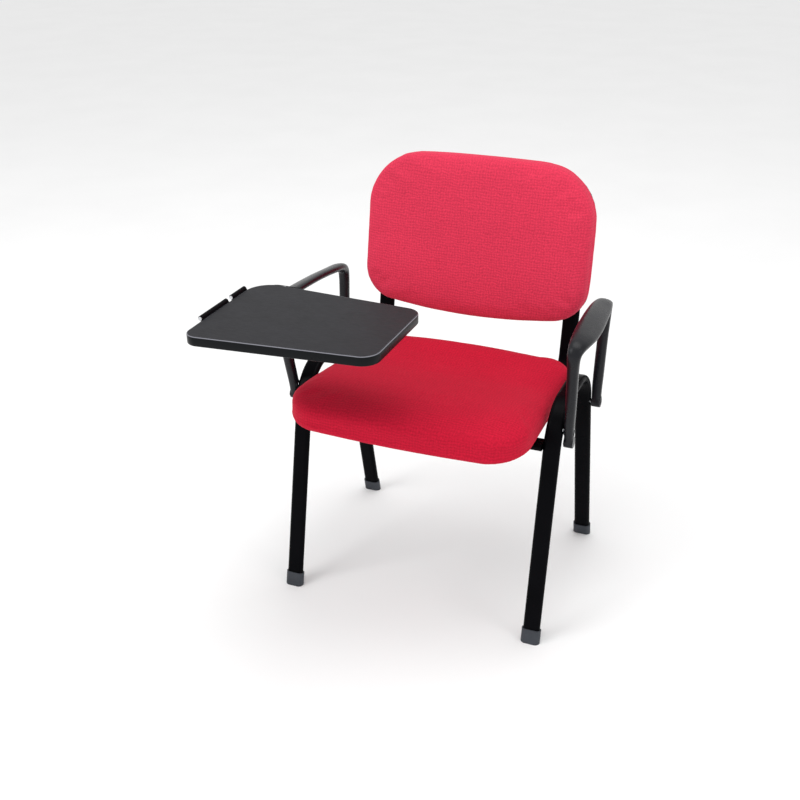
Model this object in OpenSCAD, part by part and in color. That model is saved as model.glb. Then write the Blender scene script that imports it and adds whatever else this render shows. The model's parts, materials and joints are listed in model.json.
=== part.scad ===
// Stacking visitor chair with plastic arms and a folding writing tablet.
// Origin: on the floor, midway between the four feet. +Z is up, the sitter faces -Y
// and the sitter's left is +X. All sizes are in millimetres.

/* [Side frames] */
// Distance between the middle planes of the two side frames
frame_spacing = 504; // [504:0.5:505]
// Distance on the floor from a front foot to the rear foot
foot_spacing = 403; // [396:1:410]
// Lean of the front legs from the vertical, in degrees
front_lean = 12.3; // [11.5:0.1:13]
// Lean of the rear legs from the vertical, in degrees
rear_lean = 13.1; // [12.3:0.1:13.8]
// Height of the arch's centre line
arch_z = 447; // [444:1:451]
// Bend radius of the arch's two corners
arch_bend_r = 85; // [70:1:90]

/* [Oval tube] */
// Wide side of the oval tube
tube_w = 33; // [30:1:33]
// Narrow side of the oval tube
tube_t = 15; // [14:0.5:15]
// Wall of the oval tube
tube_wall = 1.5; // [1:0.1:2]

/* [Seat] */
// Width of the seat cushion
seat_w = 470; // [456:1:470]
// Front edge of the seat cushion, along Y
seat_front_y = -268; // [-274:1:-260]
// Rear edge of the seat cushion, along Y
seat_rear_y = 137; // [130:1:139]
// Height of the seat cushion's underside
seat_base_z = 407; // [406:1:410]
// Height of the seat cushion's top along its middle
seat_top_z = 456; // [450:1:460]
// Thickness of the seat plywood
seat_ply_t = 12; // [9:1:15]

/* [Back] */
// Width of the back cushion
back_w = 470; // [464:1:476]
// Height of the back cushion along its slope
back_h = 325; // [320:1:330]
// Lean of the back from the vertical, in degrees
back_tilt = 10.6; // [9:0.1:12]
// Middle of the back cushion's rim, along Y
back_y = 173; // [168:1:178]
// Height of the middle of the back cushion's rim
back_z = 657; // [654:1:664]

/* [Writing tablet] */
// Outer (hinge) edge of the tablet, along X
tablet_outer_x = -316; // [-318:1:-315]
// Lap edge of the tablet, along X
tablet_lap_x = 22; // [10:1:40]
// Height of the tablet's writing surface
tablet_top_z = 638; // [638:1:641]
// Thickness of the tablet board
tablet_t = 18; // [16:1:18]

/* [Hidden] */
$fn = 48;

steel_black = [0.05, 0.05, 0.06];
plastic_grey = [0.16, 0.17, 0.19];
fabric_red = [0.75, 0.10, 0.20];
wood_brown = [0.72, 0.58, 0.40];
zinc = [0.72, 0.73, 0.75];
brass = [0.80, 0.62, 0.30];
rubber_black = [0.10, 0.10, 0.11];
board_grey = [0.24, 0.24, 0.26];

// Small overlap between shapes that are joined, and how far cutting tools run past what they cut
eps = 0.01;
past = 20;

// At a bend the straight is this much thinner than the bend, and runs this far into it
seam_step = 0.2;
seam_lap = 0.5;

// Side frames, in their own plane [y, z]
side_x = frame_spacing / 2;
leg_outer_x = side_x + tube_w / 2;
leg_inner_x = side_x - tube_w / 2;
foot_y = foot_spacing / 2;
tube_gap_to_floor = 7;
floor_cut = [60, 60, 100];

// Point of a leg's centre line at height z
function front_leg_y(z) = -foot_y + z * tan(front_lean);
function rear_leg_y(z) = foot_y - z * tan(rear_lean);

// The same for the front leg with its bend into the arch, which begins at front_bend_z
front_bend_z = arch_z - arch_bend_r * tan((90 - front_lean) / 2) * cos(front_lean);
front_bend_centre = [
    front_leg_y(front_bend_z) + arch_bend_r * cos(front_lean),
    arch_z - arch_bend_r
];
function bent_front_leg_y(z) =
    z < front_bend_z
        ? front_leg_y(z)
        : front_bend_centre[0] - sqrt(pow(arch_bend_r, 2) - pow(z - front_bend_centre[1], 2));

arch_path = [
    [-foot_y, 0],
    [front_leg_y(arch_z), arch_z],
    [rear_leg_y(arch_z), arch_z],
    [foot_y, 0]
];

// Tubes under the seat are stacked: cross tubes, then rails, then the seat's underside cover
pan_t = 2;
rail_z = seat_base_z - pan_t - tube_t / 2;
cross_z = rail_z - tube_t;
rail_x = 200;
rail_front_y = -150;
rail_bend_r = 40;
tube_play = 0.15;

// The back is built upright around its own middle and then leaned:
// local x is width, local y is depth towards the rear, local z is height
upright_depth = 43;
upright_top = 70;
function back_point(depth, height) = [
    back_y + depth * cos(back_tilt) + height * sin(back_tilt),
    back_z - depth * sin(back_tilt) + height * cos(back_tilt)
];
upright_foot_h = (rail_z - back_z + upright_depth * sin(back_tilt)) / cos(back_tilt);
rail_path = [
    [rail_front_y, rail_z],
    [back_point(upright_depth, upright_foot_h)[0], rail_z],
    back_point(upright_depth, upright_top)
];

// Fasteners
m6_r = 3;
m6_hole_r = 3.3;
thread_r = 3.06;
tnut_r = 4.2;
tnut_flange_r = 9;
tnut_flange_t = 1.5;
washer_r = 7;
washer_t = 1.5;
seat_screw_y = [-70, 60];
back_screw_h = [-110, 30];
// Screw heads [radius, height]
seat_head = [5.5, 3.6];
back_head = [5, 2];
arm_head = [5.2, 3.3];
carrier_head = [5.2, 2.6];
shell_head = [3.8, 2.2];
leaf_head = [3.8, 1.6];
// A screw stops this far short of its insert's far end
screw_short = 3;

// ---------------------------------------------------------------- helpers

function unit(v) = v / norm(v);
function heading(a, b) = atan2(b[1] - a[1], b[0] - a[0]);
function turn(a, b, c) = let (d = heading(b, c) - heading(a, b)) d > 180 ? d - 360 : d < -180 ? d + 360 : d;
function setback(path, i, r) =
    (i == 0 || i == len(path) - 1) ? 0 : r * tan(abs(turn(path[i - 1], path[i], path[i + 1])) / 2);

// Oval tube section: x is its narrow side, y its wide side
module oval(t, w) {
    square([t, w - t], center = true);
    for (s = [-1, 1])
        translate([0, s * (w - t) / 2])
            circle(d = t);
}

// A bar of the given section along a path in the XY plane, with round bends of radius r.
// The two ends are lengthened by extra. The straights are thinner than the bends by a hair and
// run a little way into them, so that they join as one solid.
module bent_bar(path, r, t, w, extra = 0) {
    last = len(path) - 1;
    for (i = [0:last - 1]) {
        a = heading(path[i], path[i + 1]);
        start = setback(path, i, r) - (i == 0 ? extra : seam_lap);
        stop = norm(path[i + 1] - path[i]) - setback(path, i + 1, r) + (i == last - 1 ? extra : seam_lap);
        translate([path[i][0], path[i][1], 0])
            rotate([0, 0, a])
                translate([start, 0, 0])
                    rotate([90, 0, 90])
                        linear_extrude(stop - start)
                            oval(t - seam_step, w - seam_step);
    }
    for (i = [1:last - 1]) {
        bend = turn(path[i - 1], path[i], path[i + 1]);
        a = heading(path[i - 1], path[i]);
        side = sign(bend);
        back = setback(path, i, r);
        centre = path[i] - back * [cos(a), sin(a)] + side * r * [-sin(a), cos(a)];
        translate([centre[0], centre[1], 0])
            rotate([0, 0, bend > 0 ? a - 90 : a + 90 + bend])
                rotate_extrude(angle = abs(bend), $fn = 96)
                    translate([r, 0])
                        oval(t, w);
    }
}

// Stands a shape drawn in the XY plane up in a plane across X: its x becomes Y and its y becomes Z
module upright_plane(x) {
    translate([x, 0, 0])
        rotate([90, 0, 90])
            children();
}

// Cylinder along X from x0 to x1
module rod_x(x0, x1, y, z, r) {
    translate([min(x0, x1), y, z])
        rotate([0, 90, 0])
            cylinder(r = r, h = abs(x1 - x0));
}

// Cylinder along Y from y0 to y1
module rod_y(x, y0, y1, z, r) {
    translate([x, max(y0, y1), z])
        rotate([90, 0, 0])
            cylinder(r = r, h = abs(y1 - y0));
}

// Cylinder along Z from z0 to z1
module rod_z(x, y, z0, z1, r) {
    translate([x, y, min(z0, z1)])
        cylinder(r = r, h = abs(z1 - z0));
}

module block(x, y, z) {
    translate([x[0], y[0], z[0]])
        cube([x[1] - x[0], y[1] - y[0], z[1] - z[0]]);
}

// Convex outline around a ring of discs [x, y, r] listed anticlockwise
module disc_outline(discs) {
    n = len(discs);
    points = [
        for (i = [0:n - 1])
            let (
                p = discs[i],
                q = discs[(i + 1) % n],
                span = norm([q[0] - p[0], q[1] - p[1]]),
                a = heading(p, q) - acos((p[2] - q[2]) / span)
            )
            each [
                [p[0] + p[2] * cos(a), p[1] + p[2] * sin(a)],
                [q[0] + q[2] * cos(a), q[1] + q[2] * sin(a)]
            ]
    ];
    polygon(points);
    for (d = discs)
        translate([d[0], d[1]])
            circle(r = d[2]);
}

// Points of a quarter arc
function arc_points(centre, r, from, steps) = [
    for (i = [0:steps])
        let (a = from + 90 * i / steps)
        centre + r * [cos(a), sin(a)]
];

// Points on the straight stretch between two points, without its ends
function between(a, b, steps) = [for (i = [1:steps - 1]) a + (b - a) * i / steps];

// Cushion outline: a rectangle w by h with corner radii [bottom, top], whose bottom and top
// edges bow outwards by bows [bottom, top]
function cushion_outline(w, h, radii, bows) =
    let (
        rb = radii[0],
        rt = radii[1],
        raw = concat(
            arc_points([w / 2 - rt, h / 2 - rt], rt, 0, 8),
            between([w / 2 - rt, h / 2], [rt - w / 2, h / 2], 8),
            arc_points([rt - w / 2, h / 2 - rt], rt, 90, 8),
            arc_points([rb - w / 2, rb - h / 2], rb, 180, 8),
            between([rb - w / 2, -h / 2], [w / 2 - rb, -h / 2], 8),
            arc_points([w / 2 - rb, rb - h / 2], rb, 270, 8)
        )
    )
    [
        for (p = raw)
            let (bow = 1 - pow(2 * p[0] / w, 2))
            [p[0], p[1] + (p[1] > 0 ? bows[1] : -bows[0]) * (bow - 1)]
    ];

// ---------------------------------------------------------------- frame

module tube_along(path, r) {
    difference() {
        bent_bar(path, r, tube_t, tube_w);
        bent_bar(path, r, tube_t - 2 * tube_wall, tube_w - 2 * tube_wall, 1);
    }
}

// Height of the arm's bolts on the front and the rear leg
arm_front_bolt_z = 412;
arm_rear_bolt_z = 369;
rivet_nut_r = 4.4;
arm_bolts_yz = [
    [bent_front_leg_y(arm_front_bolt_z), arm_front_bolt_z],
    [rear_leg_y(arm_rear_bolt_z), arm_rear_bolt_z]
];

module leg_frame(side) {
    color(steel_black)
        difference() {
            upright_plane(side * side_x)
                tube_along(arch_path, arch_bend_r);
            for (end = [-1, 1])
                leg_end(side, end)
                    translate([0, 0, tube_gap_to_floor - floor_cut[2] / 2])
                        cube(floor_cut, center = true);
            for (b = arm_bolts_yz)
                rod_x(side * side_x, side * (side_x + past), b[0], b[1], rivet_nut_r + 0.1);
        }
}

// Places its children at a leg's foot with local z along the leg; end is -1 front, 1 rear
module leg_end(side, end) {
    translate([side * side_x, end * foot_y, 0])
        rotate([end * (end < 0 ? front_lean : rear_lean), 0, 0])
            children();
}

module foot(side, end) {
    sleeve_wall = 2.2;
    sleeve_h = 27;
    above_floor = 100;
    color(plastic_grey)
        difference() {
            intersection() {
                leg_end(side, end)
                    translate([0, 0, -past])
                        rotate([0, 0, 90])
                            linear_extrude(sleeve_h + past)
                                oval(tube_t + 2 * sleeve_wall, tube_w + 2 * sleeve_wall);
                translate([side * side_x, end * foot_y, above_floor / 2])
                    cube(above_floor, center = true);
            }
            leg_end(side, end)
                translate([0, 0, tube_gap_to_floor])
                    rotate([0, 0, 90])
                        linear_extrude(sleeve_h + past)
                            oval(tube_t + tube_play, tube_w + tube_play);
        }
}

module back_rail(side) {
    color(steel_black)
        difference() {
            upright_plane(side * rail_x)
                tube_along(rail_path, rail_bend_r);
            for (y = seat_screw_y)
                rod_z(side * rail_x, y, rail_z - past, rail_z + past, m6_hole_r);
            lean_back()
                for (h = back_screw_h)
                    rod_y(side * rail_x, upright_depth - past, upright_depth + past, h, m6_hole_r);
        }
}

module cross_tube(y) {
    color(steel_black)
        translate([-leg_inner_x, y, cross_z])
            rotate([0, 90, 0])
                linear_extrude(2 * leg_inner_x)
                    difference() {
                        oval(tube_t, tube_w);
                        oval(tube_t - 2 * tube_wall, tube_w - 2 * tube_wall);
                    }
}

module rail_end_plugs() {
    plug_depth = 14;
    head = 3;
    bore_loss = 2 * tube_wall + seam_step + tube_play;
    color(plastic_grey)
        for (s = [-1, 1])
            translate([s * rail_x, rail_front_y, rail_z])
                rotate([90, 0, 0]) {
                    rotate([0, 0, 90])
                        linear_extrude(head)
                            oval(tube_t, tube_w);
                    translate([0, 0, -plug_depth])
                        rotate([0, 0, 90])
                            linear_extrude(plug_depth + eps)
                                oval(tube_t - bore_loss, tube_w - bore_loss);
                }
}

// ---------------------------------------------------------------- seat

seat_mid_y = (seat_front_y + seat_rear_y) / 2;
seat_depth = seat_rear_y - seat_front_y;
seat_ply_inset = 9;
pan_inset = 16;
seat_corner_r = [74, 52];
seat_bow = [8, 8];
// Shape of the seat's top, front to back: how far it lies below its highest line at each Y
seat_dish = [[60, 12], [0, 10], [-70, 4], [-150, 0]];
seat_rear_drop = 14;
seat_nose_drop = 6;
seat_lower_lip = 8;
// Room between the foam and the wood that it wraps
cushion_gap = 0.3;

module seat_outline(inset) {
    translate([0, seat_mid_y])
        polygon(cushion_outline(seat_w - 2 * inset, seat_depth - 2 * inset,
            [seat_corner_r[0] - inset, seat_corner_r[1] - inset], seat_bow));
}

// Side view of the cushion: a low rear edge, a shallow dish and a rounded front
module seat_side_view() {
    rear = seat_rear_y;
    front = seat_front_y;
    nose = 24;
    rear_r = 14;
    polygon(concat(
        [[rear, seat_base_z]],
        arc_points([rear - rear_r, seat_top_z - seat_rear_drop - rear_r], rear_r, 0, 6),
        [for (d = seat_dish) [d[0], seat_top_z - d[1]]],
        arc_points([front + nose, seat_top_z - seat_nose_drop - nose], nose, 90, 8),
        [[front, seat_base_z + seat_lower_lip], [front + seat_lower_lip, seat_base_z]]
    ));
}

module seat_cushion() {
    color(fabric_red)
        difference() {
            intersection() {
                linear_extrude(seat_top_z + past)
                    seat_outline(0);
                upright_plane(-seat_w)
                    linear_extrude(2 * seat_w)
                        seat_side_view();
            }
            translate([0, 0, seat_base_z - 1])
                linear_extrude(1 + seat_ply_t + cushion_gap)
                    seat_outline(seat_ply_inset - cushion_gap);
        }
}

module seat_plywood() {
    color(wood_brown)
        difference() {
            translate([0, 0, seat_base_z])
                linear_extrude(seat_ply_t)
                    seat_outline(seat_ply_inset);
            for (s = [-1, 1])
                for (y = seat_screw_y) {
                    rod_z(s * rail_x, y, seat_base_z - 1, seat_base_z + seat_ply_t + 1, tnut_r);
                    rod_z(s * rail_x, y, seat_base_z + seat_ply_t - tnut_flange_t - 0.2,
                        seat_base_z + seat_ply_t + 1, tnut_flange_r + 0.2);
                }
        }
}

module seat_pan() {
    color(plastic_grey)
        difference() {
            translate([0, 0, seat_base_z - pan_t])
                linear_extrude(pan_t)
                    seat_outline(pan_inset);
            for (s = [-1, 1])
                for (y = seat_screw_y)
                    rod_z(s * rail_x, y, seat_base_z - past, seat_base_z + past, m6_hole_r);
        }
}

// Threaded insert for wood: a flange and a barrel below it, top of the flange at z = 0
module tnut(barrel) {
    difference() {
        union() {
            translate([0, 0, -tnut_flange_t])
                cylinder(r = tnut_flange_r, h = tnut_flange_t);
            translate([0, 0, -barrel])
                cylinder(r = tnut_r - 0.1, h = barrel);
        }
        translate([0, 0, -barrel - 1])
            cylinder(r = thread_r, h = barrel + 2);
    }
}

// Pan-head screw: the underside of its head is at z = 0 and its shank points up
module pan_screw(length, head, r) {
    head_r = head[0];
    head_h = head[1];
    difference() {
        union() {
            cylinder(r = r, h = length);
            translate([0, 0, -head_h])
                cylinder(r = head_r, h = head_h);
        }
        translate([0, 0, -head_h - 1])
            cylinder(r = head_r * 0.4, h = 1 + head_h * 0.6, $fn = 6);
    }
}

module ring(outer_r, inner_r, h) {
    difference() {
        cylinder(r = outer_r, h = h);
        translate([0, 0, -1])
            cylinder(r = inner_r, h = h + 2);
    }
}

module at_seat_screws(z) {
    for (s = [-1, 1])
        for (y = seat_screw_y)
            translate([s * rail_x, y, z])
                children();
}

module seat_tnuts() {
    color(zinc)
        at_seat_screws(seat_base_z + seat_ply_t - 0.1)
            tnut(seat_ply_t - 1);
}

module seat_washers() {
    color(zinc)
        at_seat_screws(rail_z - tube_t / 2 - washer_t)
            ring(washer_r, m6_hole_r, washer_t);
}

module seat_screws() {
    color(zinc)
        at_seat_screws(rail_z - tube_t / 2 - washer_t)
            pan_screw(washer_t + tube_t + pan_t + seat_ply_t - screw_short, seat_head, m6_r);
}

// ---------------------------------------------------------------- back

back_ply_depth = 25;
back_ply_t = 10;
back_ply_inset = 12;
shell_depth = 58;
shell_wall = 2.5;
shell_inset = 9;
back_front_depth = -12;
back_corner_r = [44, 98];
back_bow = [23, 13];
// Screws through the rear cover: radius, length, distance from the middle and heights
shell_screw_r = 2;
shell_screw_length = 23;
shell_screw_x = 150;
shell_screw_h = [-90, 80];
shell_boss_r = 6;
// Top of the notches that let the uprights into the rear cover
notch_top_h = -60;

module lean_back() {
    translate([0, back_y, back_z])
        rotate([-back_tilt, 0, 0])
            children();
}

// A slab of the back's outline between two depths
module back_slab(from, to, inset) {
    translate([0, to, 0])
        rotate([90, 0, 0])
            linear_extrude(to - from)
                back_outline(inset);
}

module back_outline(inset) {
    polygon(cushion_outline(back_w - 2 * inset, back_h - 2 * inset,
        [back_corner_r[0] - inset, back_corner_r[1] - inset], back_bow));
}

module back_cushion() {
    color(fabric_red)
        lean_back()
            difference() {
                back_slab(back_front_depth, back_ply_depth + back_ply_t - 1, 0);
                back_slab(back_ply_depth - cushion_gap, shell_depth, back_ply_inset - cushion_gap);
            }
}

module at_back_screws(depth) {
    lean_back()
        for (s = [-1, 1])
            for (h = back_screw_h)
                translate([s * rail_x, depth, h])
                    rotate([90, 0, 0])
                        children();
}

module back_plywood() {
    color(wood_brown)
        difference() {
            lean_back()
                back_slab(back_ply_depth, back_ply_depth + back_ply_t, back_ply_inset);
            at_back_screws(back_ply_depth + back_ply_t + 1)
                cylinder(r = tnut_r, h = back_ply_t + 2);
            at_back_screws(back_ply_depth + tnut_flange_t + 0.2)
                cylinder(r = tnut_flange_r + 0.2, h = 10);
            at_shell_screws(back_ply_depth + back_ply_t + 1)
                cylinder(r = shell_screw_r + 0.1, h = back_ply_t);
        }
}

module at_shell_screws(depth) {
    lean_back()
        for (s = [-1, 1])
            for (h = shell_screw_h)
                translate([s * shell_screw_x, depth, h])
                    rotate([90, 0, 0])
                        children();
}

// Plastic rear cover: a dished shell with four screw bosses and two notches for the uprights
module back_shell() {
    ply_rear = back_ply_depth + back_ply_t;
    color(plastic_grey)
        difference() {
            union() {
                lean_back()
                    difference() {
                        back_slab(ply_rear, shell_depth, shell_inset);
                        back_slab(ply_rear - 1, shell_depth - shell_wall, shell_inset + shell_wall);
                    }
                at_shell_screws(shell_depth - 1)
                    cylinder(r = shell_boss_r, h = shell_depth - 1 - ply_rear - 0.2);
            }
            lean_back()
                for (s = [-1, 1])
                    block([s * rail_x - tube_w / 2 - 1, s * rail_x + tube_w / 2 + 1],
                        [ply_rear - 1, upright_depth + tube_t / 2 + 1], [-back_h, notch_top_h]);
            at_shell_screws(shell_depth + 1)
                cylinder(r = shell_screw_r + 0.3, h = shell_depth);
            at_shell_screws(shell_depth + 1)
                cylinder(r = shell_head[0] + 0.6, h = 4);
        }
}

module back_shell_screws() {
    color(steel_black)
        at_shell_screws(shell_depth - 3)
            pan_screw(shell_screw_length, shell_head, shell_screw_r);
}

module back_tnuts() {
    color(zinc)
        at_back_screws(back_ply_depth + 0.1)
            tnut(back_ply_t - 1);
}

module back_washers() {
    color(zinc)
        at_back_screws(upright_depth + tube_t / 2 + washer_t)
            ring(washer_r, m6_hole_r, washer_t);
}

module back_screws() {
    color(zinc)
        at_back_screws(upright_depth + tube_t / 2 + washer_t)
            pan_screw(washer_t + tube_t + back_ply_t - screw_short, back_head, m6_r);
}

// ---------------------------------------------------------------- arms

// Stations of the sitter's left arm, from its front foot over the pad to its rear foot:
// [x, y, z, width across, thickness, roll of the pad's outer edge downwards in degrees]
arm_stations = [
    [278.5, -101, 389, 18, 22, 0],
    [279, -106, 418, 18, 21, 0],
    [281.5, -118, 477, 20, 20, 0],
    [284, -130, 543, 21, 20, 0],
    [285.5, -136, 574, 24, 20, 4],
    [287.5, -128, 588, 30, 19, 10],
    [289.5, -104, 593, 38, 17, 16],
    [290, -70, 593, 44, 16, 20],
    [288, -20, 591, 46, 16, 22],
    [285, 30, 588, 44, 16, 22],
    [282, 80, 583, 40, 16, 20],
    [280, 116, 578, 32, 17, 14],
    [279.5, 136, 568, 25, 19, 6],
    [279, 141, 550, 22, 19, 0],
    [277.5, 136, 497, 21, 19, 0],
    [276, 132, 427, 21, 19, 0],
    [276, 127, 392, 20, 20, 0],
    [278, 119, 367, 18, 22, 0]
];
arm_foot_x = [269.5, 287.5];
arm_boss_r = 7;
arm_head_seat_x = 284;
arm_bolt_length = 30;
arm_past_x = [200, 320];
arm_front_foot = [-101, 389, 11];
arm_rear_foot = [119, 367, 11];
arm_steps = 4;
arm_sides = 20;

function blend(a, b, c, d, t) =
    0.5 * (2 * b + (c - a) * t + (2 * a - 5 * b + 4 * c - d) * t * t + (3 * b - a - 3 * c + d) * t * t * t);
function smooth(p, steps) = [
    for (i = [0:len(p) - 2])
        for (j = [0:steps - 1])
            blend(p[max(i - 1, 0)], p[i], p[i + 1], p[min(i + 2, len(p) - 1)], j / steps),
    p[len(p) - 1]
];
function place(s) = [s[0], s[1], s[2]];
function soft_power(v) = sign(v) * pow(abs(v), 0.8);
function arm_ring(s, along, grow) =
    let (
        level = unit([1, 0, 0] - along[0] * along),
        outward = cross(level, along),
        across = level * cos(s[5]) - outward * sin(s[5]),
        up = outward * cos(s[5]) + level * sin(s[5])
    )
    [
        for (k = [0:arm_sides - 1])
            let (a = 360 * k / arm_sides)
            place(s)
                + across * (s[3] / 2 + grow) * soft_power(cos(a))
                + up * (s[4] / 2 + grow) * soft_power(sin(a))
    ];

// Bar with a changing oval section that follows the stations, thicker all round by grow
module swept_bar(stations, grow = 0) {
    path = smooth(stations, arm_steps);
    last = len(path) - 1;
    n = arm_sides;
    points = [
        for (i = [0:last])
            let (along = unit(place(path[min(i + 1, last)]) - place(path[max(i - 1, 0)])))
            each arm_ring(path[i], along, grow)
    ];
    walls = [
        for (i = [0:last - 1])
            for (k = [0:n - 1])
                let (a = i * n + k, b = i * n + (k + 1) % n)
                each [[a, b, b + n], [a, b + n, a + n]]
    ];
    first_cap = [for (k = [1:n - 2]) [0, k + 1, k]];
    last_cap = [for (k = [1:n - 2]) [last * n, last * n + k, last * n + k + 1]];
    polyhedron(points, concat(walls, first_cap, last_cap));
}

module armrest(side) {
    color(plastic_grey)
        difference() {
            mirror([side < 0 ? 1 : 0, 0, 0])
                union() {
                    swept_bar(arm_stations);
                    for (f = [arm_front_foot, arm_rear_foot])
                        rod_x(arm_foot_x[0], arm_foot_x[1], f[0], f[1], f[2]);
                    for (b = arm_bolts_yz)
                        rod_x(leg_outer_x + 0.3, arm_foot_x[1] - 4, b[0], b[1], arm_boss_r);
                }
            for (b = arm_bolts_yz) {
                rod_x(side * arm_past_x[0], side * arm_past_x[1], b[0], b[1], m6_hole_r);
                rod_x(side * arm_head_seat_x, side * arm_past_x[1], b[0], b[1], arm_head[0] + 1);
            }
            // Keeps the feet clear of the oval legs
            upright_plane(side * side_x)
                bent_bar(arch_path, arch_bend_r, tube_t + 0.4, tube_w + 0.4);
            if (side < 0)
                for (y = carrier_screw_y)
                    rod_z(carrier_screw_x, y, insert_z[0], tablet_top_z, insert_r + 0.05);
        }
}

module at_arm_bolts(x) {
    for (side = [-1, 1])
        for (b = arm_bolts_yz)
            translate([side * x, b[0], b[1]])
                rotate([0, -side * 90, 0])
                    children();
}

module arm_bolts() {
    color(steel_black)
        at_arm_bolts(arm_head_seat_x)
            pan_screw(arm_bolt_length, arm_head, m6_r);
}

// Threaded sleeves set into the legs' outer walls
module arm_rivet_nuts() {
    color(zinc)
        at_arm_bolts(leg_outer_x - 0.6)
            ring(rivet_nut_r, thread_r, 14);
}

// ---------------------------------------------------------------- tablet support

carrier_screw_x = -289;
carrier_screw_y = [-124, -105];
insert_z = [586, 597];
insert_r = 4;
carrier_t = 3;
carrier_z = tablet_top_z - tablet_t - 12;
carrier_y = [-350, -92];
carrier_inner_x = -250;
leaf_t = 2;
leaf_gap = 1.2;
knuckle_r = 4.5;
pin_r = 2.5;
pin_play = 0.05;
hinge_z = tablet_top_z + 0.5;
moving_leaf_x = tablet_outer_x - leaf_t;
fixed_leaf_x = moving_leaf_x - leaf_gap - leaf_t;
hinge_x = moving_leaf_x - knuckle_r + 0.8;
front_hinge_y = [-347, -259];
rear_hinge_y = [-242, -194];
skirt_h = 24;
skirt_past_hinge = 6;
saddle_x = [-312, -266];
saddle_y = [-136, -96];
saddle_foot_z = 588;
// Each outer knuckle takes this share of a hinge's length
knuckle_share = 0.27;
knuckle_play = 0.3;
rivet_r = 2;
rivet_head = [3.5, 1.2];
rivet_z = carrier_z - 8;
// Screws through the moving leaves into the board
leaf_screw_r = 2;
leaf_screw_length = 13;
leaf_screw_x = [-298, -280];
// Rubber buffers on the carrier that the open board rests on
bumper_places = [[-262, -335], [-262, -250], [-262, -165]];
bumper_r = 6;
bumper_stem_r = 2;
// Round pads on the fixed leaves that the folded board leans against
stop_pad_t = 1.9;
stop_pad_r = 6;
stop_pad_y = [-303, -218];

// Plastic block that fits over the arm's front corner and carries the level plate
module tablet_saddle() {
    color(plastic_grey)
        difference() {
            block(saddle_x, saddle_y, [saddle_foot_z, carrier_z]);
            mirror([1, 0, 0])
                swept_bar(arm_stations, 0.3);
            for (y = carrier_screw_y)
                rod_z(carrier_screw_x, y, saddle_foot_z - past, carrier_z + past, m6_hole_r);
        }
}

// Angle plate: a level flange on the saddle and a skirt that carries the fixed leaves
module tablet_carrier() {
    outer_x = fixed_leaf_x + leaf_t;
    corner_r = 14;
    color(steel_black)
        difference() {
            union() {
                translate([0, 0, carrier_z])
                    linear_extrude(carrier_t)
                        union() {
                            disc_outline([
                                [carrier_inner_x - corner_r, carrier_y[0] + corner_r, corner_r],
                                [carrier_inner_x - corner_r, carrier_y[1] - corner_r, corner_r],
                                [outer_x + corner_r, carrier_y[1] - corner_r, corner_r],
                                [outer_x + corner_r, carrier_y[0] + corner_r, corner_r]
                            ]);
                            translate([outer_x, carrier_y[0] + 1])
                                square([corner_r, rear_hinge_y[1] + skirt_past_hinge - carrier_y[0] - 1]);
                        }
                block([outer_x, outer_x + carrier_t], [carrier_y[0] + 1, rear_hinge_y[1] + skirt_past_hinge],
                    [carrier_z + carrier_t - skirt_h, carrier_z + eps]);
            }
            for (y = carrier_screw_y)
                rod_z(carrier_screw_x, y, carrier_z - past, carrier_z + past, m6_hole_r);
            at_rivets()
                translate([0, 0, -past])
                    cylinder(r = rivet_r + 0.05, h = 2 * past);
            for (p = bumper_places)
                rod_z(p[0], p[1], carrier_z - past, carrier_z + past, bumper_stem_r + 0.1);
        }
}

module carrier_screws() {
    color(zinc)
        for (y = carrier_screw_y)
            translate([carrier_screw_x, y, carrier_z + carrier_t])
                mirror([0, 0, 1])
                    pan_screw(carrier_z + carrier_t - insert_z[0] - 1, carrier_head, m6_r);
}

// Threaded brass inserts moulded into the right arm
module arm_inserts() {
    color(brass)
        for (y = carrier_screw_y)
            translate([carrier_screw_x, y, insert_z[0]])
                ring(insert_r, thread_r, insert_z[1] - insert_z[0]);
}

// Stretches of a hinge that belong to its outer (fixed) knuckles and its middle (moving) one
function outer_spans(y) =
    let (k = (y[1] - y[0]) * knuckle_share)
    [[y[0], y[0] + k], [y[1] - k, y[1]]];
function middle_span(y) =
    let (k = (y[1] - y[0]) * knuckle_share)
    [y[0] + k + knuckle_play, y[1] - k - knuckle_play];

function rivet_places(y) = [for (f = [0.18, 0.82]) y[0] + f * (y[1] - y[0])];

// Rivets run along X; local z points away from the chair
module at_rivets() {
    for (h = [front_hinge_y, rear_hinge_y])
        for (y = rivet_places(h))
            translate([fixed_leaf_x, y, rivet_z])
                rotate([0, -90, 0])
                    children();
}

module hinge_leaf_fixed(y) {
    color(steel_black)
        difference() {
            union() {
                block([fixed_leaf_x, fixed_leaf_x + leaf_t], y, [carrier_z + carrier_t - skirt_h, hinge_z]);
                for (k = outer_spans(y))
                    rod_y(hinge_x, k[0], k[1], hinge_z, knuckle_r);
            }
            rod_y(hinge_x, middle_span(y)[0] - knuckle_play, middle_span(y)[1] + knuckle_play,
                hinge_z, knuckle_r + 0.5);
            rod_y(hinge_x, y[0] - 1, y[1] + 1, hinge_z, pin_r + pin_play);
            at_rivets()
                translate([0, 0, -past])
                    cylinder(r = rivet_r + 0.05, h = 2 * past);
        }
}

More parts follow.
